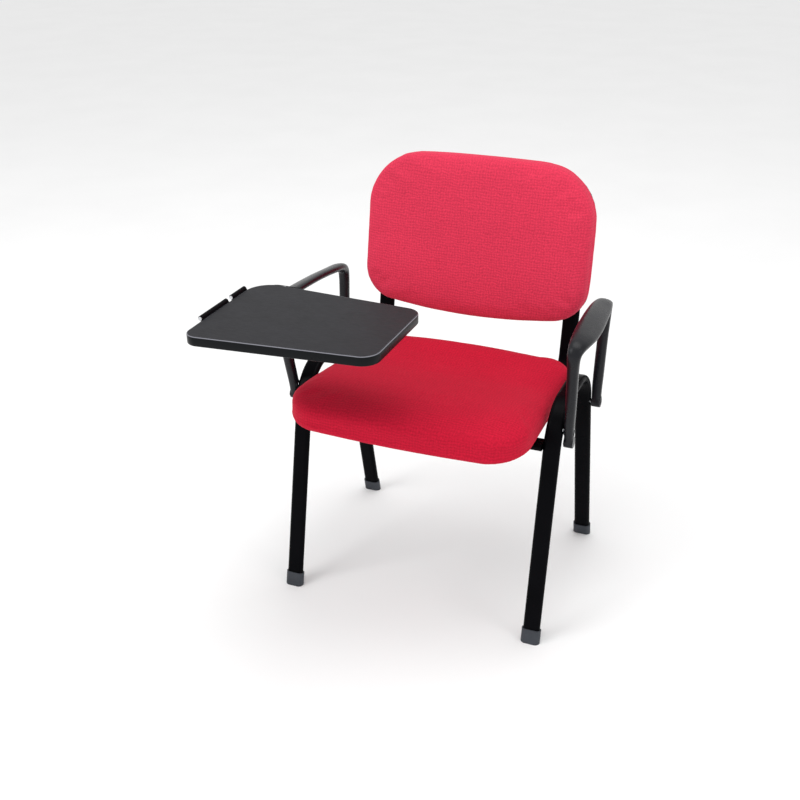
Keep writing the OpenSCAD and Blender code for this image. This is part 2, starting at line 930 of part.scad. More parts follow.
module hinge_leaf_moving(y) {
    flange = 46;
    flange_z = tablet_top_z - tablet_t;
    color(steel_black)
        difference() {
            union() {
                block([moving_leaf_x, moving_leaf_x + leaf_t], y, [flange_z - leaf_t, hinge_z]);
                block([moving_leaf_x, moving_leaf_x + flange], y, [flange_z - leaf_t, flange_z]);
                rod_y(hinge_x, middle_span(y)[0], middle_span(y)[1], hinge_z, knuckle_r);
            }
            for (k = outer_spans(y))
                rod_y(hinge_x, k[0] - knuckle_play, k[1] + knuckle_play, hinge_z, knuckle_r + 0.5);
            rod_y(hinge_x, y[0] - 1, y[1] + 1, hinge_z, pin_r + pin_play);
            at_leaf_screws(y)
                translate([0, 0, -10])
                    cylinder(r = leaf_screw_r + 0.15, h = 20);
        }
}

module hinge_pin(y) {
    head = 1.2;
    color(zinc)
        union() {
            rod_y(hinge_x, y[0] - 0.2, y[1] + 0.2, hinge_z, pin_r);
            rod_y(hinge_x, y[0] - 0.2 - head, y[0] - 0.2, hinge_z, pin_r + 1.1);
            rod_y(hinge_x, y[1] + 0.2, y[1] + 0.2 + head, hinge_z, pin_r + 1.1);
        }
}

module hinge_rivets() {
    color(steel_black)
        at_rivets() {
            translate([0, 0, -leaf_t - carrier_t - eps])
                cylinder(r = rivet_r, h = leaf_t + carrier_t + 2 * eps);
            cylinder(r = rivet_head[0], h = rivet_head[1]);
            translate([0, 0, -leaf_t - carrier_t - rivet_head[1]])
                cylinder(r = rivet_head[0], h = rivet_head[1]);
        }
}

// ---------------------------------------------------------------- tablet

band_t = 2.5;
// Board edges along Y [front, rear] at the hinge side and at the lap side, and its corner radii
// in the order hinge front, lap front, lap rear, hinge rear
tablet_outer_y = [-418, -155];
tablet_lap_y = [-392, -172];
tablet_corner_r = [24, 32, 28, 46];

// Board outline: deeper at the hinge edge than at the lap edge, corners rounded
module tablet_outline(inset) {
    r = tablet_corner_r;
    disc_outline([
        [tablet_outer_x + r[0], tablet_outer_y[0] + r[0], r[0] - inset],
        [tablet_lap_x - r[1], tablet_lap_y[0] + r[1], r[1] - inset],
        [tablet_lap_x - r[2], tablet_lap_y[1] - r[2], r[2] - inset],
        [tablet_outer_x + r[3], tablet_outer_y[1] - r[3], r[3] - inset]
    ]);
}

module tablet_board() {
    screw_depth = 12;
    color(board_grey)
        difference() {
            translate([0, 0, tablet_top_z - tablet_t])
                linear_extrude(tablet_t)
                    tablet_outline(band_t);
            for (h = [front_hinge_y, rear_hinge_y])
                at_leaf_screws(h)
                    translate([0, 0, leaf_t - 1])
                        cylinder(r = leaf_screw_r + 0.05, h = screw_depth + 1);
        }
}

module tablet_edge_band() {
    color(rubber_black)
        translate([0, 0, tablet_top_z - tablet_t])
            linear_extrude(tablet_t)
                difference() {
                    tablet_outline(0);
                    tablet_outline(band_t);
                }
}

// Screws through a moving leaf's flange; local z points up from the flange's underside
module at_leaf_screws(y) {
    for (f = [0.2, 0.8])
        for (x = leaf_screw_x)
            translate([x, y[0] + f * (y[1] - y[0]), tablet_top_z - tablet_t - leaf_t])
                children();
}

module tablet_screws() {
    color(zinc)
        for (h = [front_hinge_y, rear_hinge_y])
            at_leaf_screws(h)
                pan_screw(leaf_screw_length, leaf_head, leaf_screw_r);
}

module tablet_bumpers() {
    rest_z = tablet_top_z - tablet_t;
    color(rubber_black)
        for (p = bumper_places) {
            rod_z(p[0], p[1], carrier_z + carrier_t, rest_z - 0.05, bumper_r);
            rod_z(p[0], p[1], carrier_z - 3, carrier_z + carrier_t + eps, bumper_stem_r);
            rod_z(p[0], p[1], carrier_z - 3, carrier_z - 0.1, bumper_stem_r + 1.5);
        }
}

module fold_stop_pads() {
    color(rubber_black)
        for (y = stop_pad_y)
            rod_x(fixed_leaf_x - stop_pad_t, fixed_leaf_x, y, carrier_z - stop_pad_r, stop_pad_r);
}

// ---------------------------------------------------------------- assembly

leg_frame(1);  // leg_frame_left
leg_frame(-1);  // leg_frame_right
back_rail(1);  // back_rail_left
back_rail(-1);  // back_rail_right
cross_tube(front_leg_y(cross_z));  // front_cross_tube
cross_tube(rear_leg_y(cross_z));  // rear_cross_tube
foot(1, -1);  // foot_front_left
foot(-1, -1);  // foot_front_right
foot(1, 1);  // foot_rear_left
foot(-1, 1);  // foot_rear_right
rail_end_plugs();
seat_plywood();
seat_cushion();
seat_pan();
seat_screws();
seat_washers();
seat_tnuts();
back_plywood();
back_cushion();
back_shell();
back_screws();
back_washers();
back_tnuts();
back_shell_screws();
armrest(1);  // armrest_left
armrest(-1);  // armrest_right
arm_bolts();
arm_rivet_nuts();
tablet_saddle();
tablet_carrier();
carrier_screws();
arm_inserts();
hinge_leaf_fixed(front_hinge_y);  // hinge_leaf_fixed_front
hinge_leaf_fixed(rear_hinge_y);  // hinge_leaf_fixed_rear
hinge_rivets();
hinge_pin(front_hinge_y);  // hinge_pin_front
hinge_pin(rear_hinge_y);  // hinge_pin_rear
hinge_leaf_moving(front_hinge_y);  // hinge_leaf_moving_front
hinge_leaf_moving(rear_hinge_y);  // hinge_leaf_moving_rear
tablet_board();
tablet_edge_band();
tablet_screws();
tablet_bumpers();
fold_stop_pads();
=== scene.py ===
import json
import math

import bmesh
import bpy
from mathutils import Matrix, Vector


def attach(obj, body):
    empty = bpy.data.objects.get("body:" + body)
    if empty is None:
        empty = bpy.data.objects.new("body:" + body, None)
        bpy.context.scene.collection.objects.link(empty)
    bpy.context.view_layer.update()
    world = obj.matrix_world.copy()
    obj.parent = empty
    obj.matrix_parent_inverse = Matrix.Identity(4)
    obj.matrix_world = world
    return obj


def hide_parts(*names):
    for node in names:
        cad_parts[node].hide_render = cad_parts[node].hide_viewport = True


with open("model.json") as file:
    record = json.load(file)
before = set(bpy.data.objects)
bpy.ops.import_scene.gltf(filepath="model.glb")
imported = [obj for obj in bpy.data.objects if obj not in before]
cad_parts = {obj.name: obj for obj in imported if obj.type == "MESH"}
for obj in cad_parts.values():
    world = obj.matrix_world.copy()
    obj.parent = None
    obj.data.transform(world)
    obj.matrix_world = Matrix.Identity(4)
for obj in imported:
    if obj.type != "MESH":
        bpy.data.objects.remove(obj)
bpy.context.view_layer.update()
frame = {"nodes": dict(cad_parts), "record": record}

MM = 0.001

# ---------------------------------------------------------------- sizes, in millimetres

# Camera: where it stands, its turn round the chair, its height angle and its roll in degrees, and
# its lens and sensor in millimetres
CAMERA_AT = Vector((671.4, -1834.6, 1371.1)) * MM
CAMERA_AZIMUTH = 22.7
CAMERA_ELEVATION = 27.0
CAMERA_ROLL = -0.7
CAMERA_LENS = 49.6
CAMERA_SENSOR_W = 36

# Seat cushion
SEAT_W = 470
SEAT_FRONT_Y = -268
SEAT_REAR_Y = 137
SEAT_BASE_Z = 407
SEAT_CORNER_R = (74, 52)
SEAT_BOW = (8, 8)
# Height of the seat's top along its middle, rear to front: (y, z)
SEAT_TOP = (
    (137, 452), (95, 447), (45, 441), (-15, 440),
    (-80, 448), (-150, 457), (-210, 459), (-268, 453),
)
SEAT_CROWN = 3
# How far the front edge's underside hangs below the rest, and how far back that reaches
SEAT_LIP = 8
SEAT_LIP_REACH = 70
# The seat's side, from its underside to its top: (inset from the outline, height above the base)
SEAT_SIDE = ((34, -0.8), (12, -0.8), (5, 1.5), (1.5, 7), (0, 16))
# Its top edge: (inset from the outline, drop below the top)
SEAT_EDGE = ((0.5, 19), (3.5, 12), (9, 6.5), (17, 2.8), (28, 0.8), (46, 0))

# Back cushion, in the back's own frame: x across, depth rearwards, height along its slope
BACK_W = 474
BACK_H = 328
BACK_TILT = 10.6
BACK_AT = (-2, 173, 657)
BACK_CORNER_R = (60, 102)
BACK_BOW = (23, 13)
BACK_FRONT = -12
BACK_CROWN = 5
# Its side, from its rear rim to its front: (inset from the outline, depth)
BACK_SIDE = (
    (26, 35.6), (9, 35.6), (2, 32), (0, 25), (0, 8),
    (1.5, 0), (5, -5), (11, -9), (20, -11), (36, -12),
)

# Stations of the sitter's left arm: x, y, z, width across, thickness, and the outer edge's roll in
# degrees
ARM_STATIONS = (
    (278.5, -101, 389, 18, 22, 0),
    (279, -106, 418, 18, 21, 0),
    (281.5, -118, 477, 20, 20, 0),
    (284, -130, 543, 21, 20, 0),
    (285.5, -136, 574, 24, 20, 4),
    (287.5, -128, 588, 30, 19, 10),
    (289.5, -104, 593, 38, 17, 16),
    (290, -70, 593, 44, 16, 20),
    (288, -20, 591, 46, 16, 22),
    (285, 30, 588, 44, 16, 22),
    (282, 80, 583, 40, 16, 20),
    (280, 116, 578, 32, 17, 14),
    (279.5, 136, 568, 25, 19, 6),
    (279, 141, 550, 22, 19, 0),
    (277.5, 136, 497, 21, 19, 0),
    (276, 132, 427, 21, 19, 0),
    (276, 127, 392, 20, 20, 0),
    (278, 119, 367, 18, 22, 0),
)
# The arm's flat round feet: y, z, radius, and how far they reach across
ARM_FEET = ((-101, 389, 11), (119, 367, 11))
ARM_FOOT_X = (269.5, 287.5)
# Its bolts: y and z of each, the boss that meets the leg, where the head sits, and the radius and
# outer end of the hole for the head
ARM_BOLTS = ((-104.3, 412), (115.6, 369))
ARM_BOSS_X = (268.8, 283.5)
ARM_BOSS_R = 7
ARM_HEAD_SEAT_X = 284
ARM_HEAD_HOLE_R = 6.2
ARM_HEAD_HOLE_END = ARM_FOOT_X[1] + 12
# Exponent of its oval section (1 is an ellipse, less is squarer), and how finely it is built
ARM_OVAL = 0.8
ARM_STEPS = 8
ARM_SIDES = 32
ARM_VOXEL = 1.3
# How far each round of smoothing moves its surface, and how many rounds there are
ARM_RELAX = 0.5
ARM_RELAX_ROUNDS = 6

# Writing board's outline discs (x, y, radius) and its edge band
BOARD_DISCS = ((-292, -394, 24), (-10, -360, 32), (-6, -200, 28), (-270, -201, 46))
BOARD_TOP_Z = 638
BOARD_T = 18
BAND_T = 2.5
BAND_ROUND = 2.2
BAND_STEPS = 4

# Both cushions: the smallest corner radius, how soon the bow of an edge reaches its full size, and
# how finely a profile is read
CUSHION_MIN_R = 4
CUSHION_BOW_RISE = 1.6
PROFILE_STEPS = 12
# Rings that close the seat's top and the back's front: their size as a share of the last edge ring
SEAT_TOP_SHARES = (0.75, 0.5, 0.25, 0.06)
BACK_FRONT_SHARES = (0.85, 0.65, 0.42, 0.2, 0.05)
# How far up its side the seat's cloth is held, and from which depth rearwards the back's is
SEAT_HELD_RISE = 5
BACK_HELD_DEPTH = 29

# Cloth simulation: pressure, furthest move, mesh size, frames and stiffnesses
CLOTH_PRESSURE = 5
CLOTH_CAP = 3.5
CLOTH_VOXEL = 5.5
CLOTH_FRAMES = 20
CLOTH_STRETCH = 20
CLOTH_BEND = 2

# Floor: its size in metres, and the two whites it varies between
FLOOR_SIZE = 120.0
FLOOR_WHITES = ((0.95, 0.95, 0.95), (0.97, 0.97, 0.97))

# Lights: name, place and width in metres, and watts
LIGHTS = (
    ("key", (-1.9, -2.1, 2.8), 1.6, 36),
    ("fill", (2.8, -1.0, 1.9), 1.2, 9),
    ("top", (0.2, 0.2, 3.4), 2.0, 30),
)
# What they aim at, in metres, and the strength of the white sky
LIGHT_AIM = (0, 0, 0.45)
SKY_STRENGTH = 0.84

# ---------------------------------------------------------------- mesh helpers


def mesh_object(name, verts, faces, smooth=True):
    """A new object from points in millimetres."""
    mesh = bpy.data.meshes.new(name)
    mesh.from_pydata([Vector(v) * MM for v in verts], [], faces)
    mesh.validate()
    built = bmesh.new()
    built.from_mesh(mesh)
    bmesh.ops.recalc_face_normals(built, faces=built.faces)
    built.to_mesh(mesh)
    built.free()
    obj = bpy.data.objects.new(name, mesh)
    bpy.context.scene.collection.objects.link(obj)
    if smooth:
        mesh.shade_smooth()
    return obj


def loft(rings, closed=False):
    """Points and faces of a skin through rings of equal length; its ends are capped unless closed."""
    count = len(rings[0])
    verts = [point for ring in rings for point in ring]
    faces = []
    for i in range(len(rings) if closed else len(rings) - 1):
        here = i * count
        there = (i + 1) % len(rings) * count
        for k in range(count):
            after = (k + 1) % count
            faces.append((here + k, here + after, there + after, there + k))
    if not closed:
        for start in (0, (len(rings) - 1) * count):
            middle = sum((Vector(v) for v in verts[start:start + count]), Vector()) / count
            verts.append(middle)
            hub = len(verts) - 1
            faces += [(start + k, start + (k + 1) % count, hub) for k in range(count)]
    return verts, faces


def cylinder_x(x0, x1, y, z, radius, sides=40):
    """Rings of a closed cylinder along X."""
    turn = [2 * math.pi * k / sides for k in range(sides)]
    disc = [(y + radius * math.cos(a), z + radius * math.sin(a)) for a in turn]
    return [[(x, *point) for point in disc] for x in (x0, x1)]


def applied(obj):
    """Makes obj's modifiers part of its mesh."""
    graph = bpy.context.evaluated_depsgraph_get()
    mesh = bpy.data.meshes.new_from_object(obj.evaluated_get(graph))
    obj.modifiers.clear()
    obj.data = mesh
    mesh.shade_smooth()


def smooth_curve(values, steps):
    """Points on a smooth curve through every value; each value is a tuple of numbers."""
    out = []
    last = len(values) - 1
    for i in range(last):
        a, b, c, d = (Vector(values[min(max(k, 0), last)]) for k in (i - 1, i, i + 1, i + 2))
        for j in range(steps):
            t = j / steps
            out.append(0.5 * (2 * b + (c - a) * t + (2 * a - 5 * b + 4 * c - d) * t ** 2
                              + (3 * b - a - 3 * c + d) * t ** 3))
    out.append(Vector(values[last]))
    return out


def height_at(profile, y):
    """Height of a smooth (y, z) profile, listed rear to front, at y."""
    points = smooth_curve(profile, PROFILE_STEPS)
    for a, b in zip(points, points[1:]):
        if a.x >= y >= b.x:
            return a.y + (b.y - a.y) * (a.x - y) / max(a.x - b.x, 1e-6)
    return points[0].y if y > points[0].x else points[-1].y


def quarter(cx, cy, radius, start, steps=10):
    """Points along a quarter circle, anticlockwise from the angle start in degrees."""
    angles = [math.radians(start + 90 * i / steps) for i in range(steps + 1)]
    return [(cx + radius * math.cos(a), cy + radius * math.sin(a)) for a in angles]


def stretch(a, b, steps=14):
    """Points on the line from a to b, without its two ends."""
    out = []
    for i in range(1, steps):
        x = a[0] + (b[0] - a[0]) * i / steps
        y = a[1] + (b[1] - a[1]) * i / steps
        out.append((x, y))
    return out


def cushion_outline(width, height, radii, bows, inset):
    """Rounded rectangle round the origin, drawn in by inset.

    radii are those of its lower and upper corners. Its lower and upper edges lie on the rectangle in
    the middle and draw in towards their ends by bows.
    """
    w = width - 2 * inset
    h = height - 2 * inset
    low = max(radii[0] - inset, CUSHION_MIN_R)
    high = max(radii[1] - inset, CUSHION_MIN_R)
    raw = quarter(w / 2 - high, h / 2 - high, high, 0)
    raw += stretch((w / 2 - high, h / 2), (high - w / 2, h / 2))
    raw += quarter(high - w / 2, h / 2 - high, high, 90)
    raw += stretch((-w / 2, h / 2 - high), (-w / 2, low - h / 2))
    raw += quarter(low - w / 2, low - h / 2, low, 180)
    raw += stretch((low - w / 2, -h / 2), (w / 2 - low, -h / 2))
    raw += quarter(w / 2 - low, low - h / 2, low, 270)
    raw += stretch((w / 2, low - h / 2), (w / 2, h / 2 - high))
    out = []
    for x, y in raw:
        reach = bows[1] if y > 0 else -bows[0]
        bow = -(2 * x / w) ** 2
        out.append((x, y + reach * bow * min(1, abs(2 * y / h) * CUSHION_BOW_RISE)))
    return out


# ---------------------------------------------------------------- cushions


def seat_rings():
    """Rings from the middle of the seat's underside round its side to the middle of its top."""
    depth = SEAT_REAR_Y - SEAT_FRONT_Y
    middle_y = (SEAT_REAR_Y + SEAT_FRONT_Y) / 2

    def outline(inset):
        flat = cushion_outline(SEAT_W, depth, SEAT_CORNER_R, SEAT_BOW, inset)
        return [(x, y + middle_y) for x, y in flat]

    def top(x, y):
        return height_at(SEAT_TOP, y) + SEAT_CROWN * (1 - (2 * x / SEAT_W) ** 2)

    def base(y):
        reach = max(0, 1 - (y - SEAT_FRONT_Y) / SEAT_LIP_REACH)
        return SEAT_BASE_Z - SEAT_LIP * min(reach, 1) ** 2

    rings = [[(x, y, base(y) + rise) for x, y in outline(inset)] for inset, rise in SEAT_SIDE]
    rings += [[(x, y, top(x, y) - drop) for x, y in outline(inset)] for inset, drop in SEAT_EDGE]
    inner = outline(SEAT_EDGE[-1][0])
    for share in SEAT_TOP_SHARES:
        ring = [(x * share, middle_y + (y - middle_y) * share) for x, y in inner]
        rings.append([(x, y, top(x, y)) for x, y in ring])
    return rings


def lean_back():
    """Places the back's own frame (x, depth, height) in the chair."""
    move = Matrix.Translation(Vector(BACK_AT))
    return move @ Matrix.Rotation(math.radians(-BACK_TILT), 4, "X")


def back_rings():
    """Rings from the back cushion's rear rim round its side to the middle of its front."""
    place = lean_back()
    rings = []
    for inset, depth in BACK_SIDE:
        flat = cushion_outline(BACK_W, BACK_H, BACK_CORNER_R, BACK_BOW, inset)
        rings.append([place @ Vector((x, depth, h)) for x, h in flat])
    inner = cushion_outline(BACK_W, BACK_H, BACK_CORNER_R, BACK_BOW, BACK_SIDE[-1][0])
    for share in BACK_FRONT_SHARES:
        depth = BACK_FRONT - BACK_CROWN * (1 - share ** 2)
        rings.append([place @ Vector((x * share, depth, h * share)) for x, h in inner])
    return rings


def inflate(obj, pinned):
    """Swells a closed mesh with cloth simulation.

    Points where pinned(place) is true stay, and none moves further than CLOTH_CAP.
    """
    remesh = obj.modifiers.new("Even mesh", "REMESH")
    remesh.mode = "VOXEL"
    remesh.voxel_size = CLOTH_VOXEL * MM
    applied(obj)
    start = [v.co.copy() for v in obj.data.vertices]
    group = obj.vertex_groups.new(name="held")
    group.add([i for i, place in enumerate(start) if pinned(place)], 1.0, "REPLACE")
    cloth = obj.modifiers.new("Cloth", "CLOTH")
    cloth.settings.vertex_group_mass = "held"
    cloth.settings.use_pressure = True
    cloth.settings.uniform_pressure_force = CLOTH_PRESSURE
    cloth.settings.effector_weights.gravity = 0
    cloth.settings.tension_stiffness = CLOTH_STRETCH
    cloth.settings.compression_stiffness = CLOTH_STRETCH
    cloth.settings.bending_stiffness = CLOTH_BEND
    cloth.point_cache.frame_start = 1
    cloth.point_cache.frame_end = CLOTH_FRAMES
    for number in range(1, CLOTH_FRAMES + 1):
        bpy.context.scene.frame_set(number)
    graph = bpy.context.evaluated_depsgraph_get()
    swollen = obj.evaluated_get(graph).to_mesh()
    ends = [v.co.copy() for v in swollen.vertices]
    obj.evaluated_get(graph).to_mesh_clear()
    obj.modifiers.clear()
    for vertex, a, b in zip(obj.data.vertices, start, ends):
        step = b - a
        if step.length > CLOTH_CAP * MM:
            step *= CLOTH_CAP * MM / step.length
        vertex.co = a + step
    bpy.context.scene.frame_set(1)


def cushion(name, node, rings, pinned):
    """A padded piece with its swelling and its smooth surface."""
    obj = mesh_object(name, *loft(rings))
    inflate(obj, pinned)
    surface = obj.modifiers.new("Smooth", "SUBSURF")
    surface.levels = 1
    surface.render_levels = 1
    applied(obj)
    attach(obj, "chair")
    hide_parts(node)
    return obj


def seat_held(place):
    """Whether the seat's cloth is fixed here, near its underside."""
    return place.z < (SEAT_BASE_Z + SEAT_HELD_RISE) * MM


def back_held(place):
    """Whether the back's cloth is fixed here, near its rear rim."""
    local = lean_back().inverted() @ (place / MM)
    return local.y > BACK_HELD_DEPTH


# ---------------------------------------------------------------- arms


def arm_rings(side):
    """Rings of ovals along the arm; side is 1 for the sitter's left arm and -1 for the right."""
    rings = []
    path = smooth_curve(ARM_STATIONS, ARM_STEPS)
    places = [Vector(s[:3]) for s in path]
    for i, station in enumerate(path):
        along = (places[min(i + 1, len(path) - 1)] - places[max(i - 1, 0)]).normalized()
        level = (Vector((1, 0, 0)) - along * along.x).normalized()
        outward = level.cross(along)
        roll = math.radians(station[5])
        across = level * math.cos(roll) - outward * math.sin(roll)
        up = outward * math.cos(roll) + level * math.sin(roll)
        ring = []
        for k in range(ARM_SIDES):
            angle = 2 * math.pi * k / ARM_SIDES
            c = math.cos(angle)
            s = math.sin(angle)
            wide = math.copysign(abs(c) ** ARM_OVAL, c) * station[3] / 2
            thick = math.copysign(abs(s) ** ARM_OVAL, s) * station[4] / 2
            point = places[i] + across * wide + up * thick
            ring.append((side * point.x, point.y, point.z))
        rings.append(ring)
    return rings


def cut(obj, cutter):
    """Takes cutter's shape out of obj."""
    boolean = obj.modifiers.new("Cut", "BOOLEAN")
    boolean.operation = "DIFFERENCE"
    boolean.solver = "EXACT"
    boolean.object = cutter
    applied(obj)
    bpy.data.objects.remove(cutter)


def armrest(side, name, node):
    """One moulded arm: the loop, its feet and bosses as one skin, with holes for the bolt heads."""
    parts = [arm_rings(side)]
    for y, z, r in ARM_FEET:
        parts.append(cylinder_x(side * ARM_FOOT_X[0], side * ARM_FOOT_X[1], y, z, r))
    for y, z in ARM_BOLTS:
        parts.append(cylinder_x(side * ARM_BOSS_X[0], side * ARM_BOSS_X[1], y, z, ARM_BOSS_R))
    verts = []
    faces = []
    for rings in parts:
        more_verts, more_faces = loft(rings)
        faces += [tuple(i + len(verts) for i in face) for face in more_faces]
        verts += more_verts
    obj = mesh_object(name, verts, faces)
    remesh = obj.modifiers.new("One skin", "REMESH")
    remesh.mode = "VOXEL"
    remesh.voxel_size = ARM_VOXEL * MM
    relax = obj.modifiers.new("Moulded", "SMOOTH")
    relax.factor = ARM_RELAX
    relax.iterations = ARM_RELAX_ROUNDS
    applied(obj)
    for y, z in ARM_BOLTS:
        ends = (side * ARM_HEAD_SEAT_X, side * ARM_HEAD_HOLE_END)
        rings = cylinder_x(*ends, y, z, ARM_HEAD_HOLE_R)
        cut(obj, mesh_object("cutter", *loft(rings)))
    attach(obj, "chair")
    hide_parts(node)
    return obj


# ---------------------------------------------------------------- writing board's edge band


def disc_outline(discs, inset=0, steps=10):
    """Outline round a ring of discs (x, y, radius) listed anticlockwise, with the corners as arcs."""
    count = len(discs)
    turns = []
    for i in range(count):
        p = discs[i]
        q = discs[(i + 1) % count]
        span = math.hypot(q[0] - p[0], q[1] - p[1])
        turns.append(math.atan2(q[1] - p[1], q[0] - p[0]) - math.acos((p[2] - q[2]) / span))
    points = []
    for i in range(count):
        start = turns[i - 1]
        sweep = (turns[i] - start) % (2 * math.pi)
        radius = discs[i][2] - inset
        for k in range(steps + 1):
            angle = start + sweep * k / steps
            x = discs[i][0] + radius * math.cos(angle)
            y = discs[i][1] + radius * math.sin(angle)
            points.append((x, y))
    return points


def edge_band():
    """The band's section follows the board's outline; its two outer edges are rounded."""
    top = BOARD_TOP_Z
    low = BOARD_TOP_Z - BOARD_T
    section = [(BAND_T, low)]
    turns = [math.radians(90 * k / BAND_STEPS) for k in range(BAND_STEPS + 1)]
    for angle in turns:
        inset = BAND_ROUND * (1 - math.sin(angle))
        section.append((inset, low + BAND_ROUND * (1 - math.cos(angle))))
    for angle in turns:
        inset = BAND_ROUND * (1 - math.cos(angle))
        section.append((inset, top - BAND_ROUND * (1 - math.sin(angle))))
    section.append((BAND_T, top))
    rings = [[(x, y, z) for x, y in disc_outline(BOARD_DISCS, inset)] for inset, z in section]
    obj = mesh_object("tablet_band", *loft(rings, closed=True))
    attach(obj, "tablet")
    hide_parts("tablet_edge_band")
    return obj


# ---------------------------------------------------------------- materials


class Nodes:
    """A material's node tree, with short calls for the nodes that the materials here share."""

    def __init__(self, name):
        self.material = bpy.data.materials.new(name)
        self.material.use_nodes = True
        self.tree = self.material.node_tree
        self.shader = self.tree.nodes["Principled BSDF"]
        self.coords = self.tree.nodes.new("ShaderNodeTexCoord")

    def link(self, out, to):
        """Joins an output to an input."""
        self.tree.links.new(out, to)

    def feed(self, name, out):
        """Joins an output to the shader's input called name."""
        self.link(out, self.shader.inputs[name])

    def place(self, stretch_by=(1, 1, 1)):
        """Places in the chair's frame, stretched along its axes."""
        mapping = self.tree.nodes.new("ShaderNodeMapping")
        mapping.inputs["Scale"].default_value = stretch_by
        self.link(self.coords.outputs["Object"], mapping.inputs["Vector"])
        return mapping.outputs["Vector"]

    def noise(self, scale, detail=3.0, rough=0.5, stretch_by=(1, 1, 1)):
        """Soft random variation between 0 and 1."""
        node = self.tree.nodes.new("ShaderNodeTexNoise")
        node.inputs["Scale"].default_value = scale
        node.inputs["Detail"].default_value = detail
        node.inputs["Roughness"].default_value = rough
        self.link(self.place(stretch_by), node.inputs["Vector"])
        return node.outputs["Fac"]

    def cells(self, scale):
        """A pattern of small round cells."""
        node = self.tree.nodes.new("ShaderNodeTexVoronoi")
        node.inputs["Scale"].default_value = scale
        self.link(self.place(), node.inputs["Vector"])
        return node.outputs["Distance"]

    def math(self, operation, a, b=0.0):
        """One sum on numbers or on other nodes' outputs."""
        node = self.tree.nodes.new("ShaderNodeMath")
        node.operation = operation
        for socket, value in zip(node.inputs, (a, b)):
            if isinstance(value, (int, float)):
                socket.default_value = value
            else:
                self.link(value, socket)
        return node.outputs[0]

    def plus(self, base, extra, share):
        """base with a share of extra added to it."""
        return self.math("ADD", base, self.math("MULTIPLY", extra, share))

    def ramp(self, factor, stops):
        """Colours between the stops, each a (factor, colour)."""
        node = self.tree.nodes.new("ShaderNodeValToRGB")
        ramp = node.color_ramp
        ramp.elements[0].position = stops[0][0]
        ramp.elements[0].color = (*stops[0][1], 1)
        ramp.elements[1].position = stops[-1][0]
        ramp.elements[1].color = (*stops[-1][1], 1)
        for position, colour in stops[1:-1]:
            ramp.elements.new(position).color = (*colour, 1)
        self.link(factor, node.inputs["Fac"])
        return node.outputs["Color"]

    def bump(self, height, strength, distance, rounding=0.0):
        """Surface relief, distance in metres; sharp edges are shaded as if rounded, in millimetres."""
        node = self.tree.nodes.new("ShaderNodeBump")
        if rounding:
            edges = self.tree.nodes.new("ShaderNodeBevel")
            edges.samples = 4
            edges.inputs["Radius"].default_value = rounding * MM
            self.link(edges.outputs["Normal"], node.inputs["Normal"])
        node.inputs["Strength"].default_value = strength
        node.inputs["Distance"].default_value = distance
        self.link(height, node.inputs["Height"])
        self.link(node.outputs["Normal"], self.shader.inputs["Normal"])

    def set(self, **values):
        """Sets the shader's inputs; an underscore stands for a space in an input's name."""
        for name, value in values.items():
            self.shader.inputs[name.replace("_", " ")].default_value = value


def spread(colour, amount):
    """A darker and a lighter version of a colour."""
    return tuple(c * (1 - amount) for c in colour), tuple(min(c * (1 + amount), 1) for c in colour)


def woven(name, colour, pitch=5.5):
    """Upholstery cloth: uneven ribs and cross threads, with blotchy dye and a faint sheen."""
    nodes = Nodes(name)
    per_metre = 2 * math.pi / (pitch * MM)
    split = nodes.tree.nodes.new("ShaderNodeSeparateXYZ")
    nodes.link(nodes.coords.outputs["Object"], split.inputs[0])
    facing = nodes.tree.nodes.new("ShaderNodeSeparateXYZ")
    nodes.link(nodes.coords.outputs["Normal"], facing.inputs[0])
    # How far the threads wander, in radians, and the heights of ribs, cross threads and slubs
    wander = 14.0
    rib_height = 0.07
    crossing_height = 0.045
    slub_height = 0.7
    ripple = nodes.math("MULTIPLY", nodes.noise(60, detail=4), wander)
    waves = []
    for i in range(3):
        along = nodes.math("MULTIPLY", split.outputs[i], per_metre)
        waves.append(nodes.math("SINE", nodes.math("ADD", along, ripple)))
    # Axes along which the ribs and the cross threads repeat, for a surface that faces X, Y or Z
    ribs = (2, 2, 1)
    crossings = (1, 0, 0)
    weave = 0.0
    for i in range(3):
        rib = nodes.math("MULTIPLY", waves[ribs[i]], rib_height)
        crossing = nodes.math("MULTIPLY", waves[crossings[i]], crossing_height)
        share = nodes.math("POWER", nodes.math("ABSOLUTE", facing.outputs[i]), 2)
        weave = nodes.plus(weave, nodes.math("ADD", rib, crossing), share)
    slub = nodes.math("MULTIPLY", nodes.noise(420, detail=3, rough=0.6), slub_height)
    height = nodes.math("ADD", weave, slub)
    dark, light = spread(colour, 0.34)
    mottle = nodes.plus(height, nodes.noise(9, detail=2), 0.14)
    nodes.feed("Base Color", nodes.ramp(mottle, ((0.12, dark), (0.42, colour), (0.72, light))))
    nodes.bump(height, strength=0.5, distance=0.0009)
    nodes.set(Roughness=0.86, Sheen_Weight=0.08, Sheen_Roughness=0.45)
    nodes.set(Sheen_Tint=(1.0, 0.35, 0.42, 1))
    nodes.set(Specular_IOR_Level=0.12)
    return nodes.material


def coated(name, colour, rough, peel=260, strength=0.12, shine=0.03):
    """Powder coat: orange-peel surface, with its gloss uneven."""
    nodes = Nodes(name)
    dark, light = spread(colour, 0.25)
    nodes.feed("Base Color", nodes.ramp(nodes.noise(14, detail=4), ((0.3, dark), (0.7, light))))
    gloss = nodes.plus(rough - 0.07, nodes.noise(35, detail=3), 0.14)
    nodes.feed("Roughness", gloss)
    nodes.bump(nodes.noise(peel, detail=2), strength=strength, distance=0.0008, rounding=0.8)
    nodes.set(Specular_IOR_Level=shine)
    return nodes.material


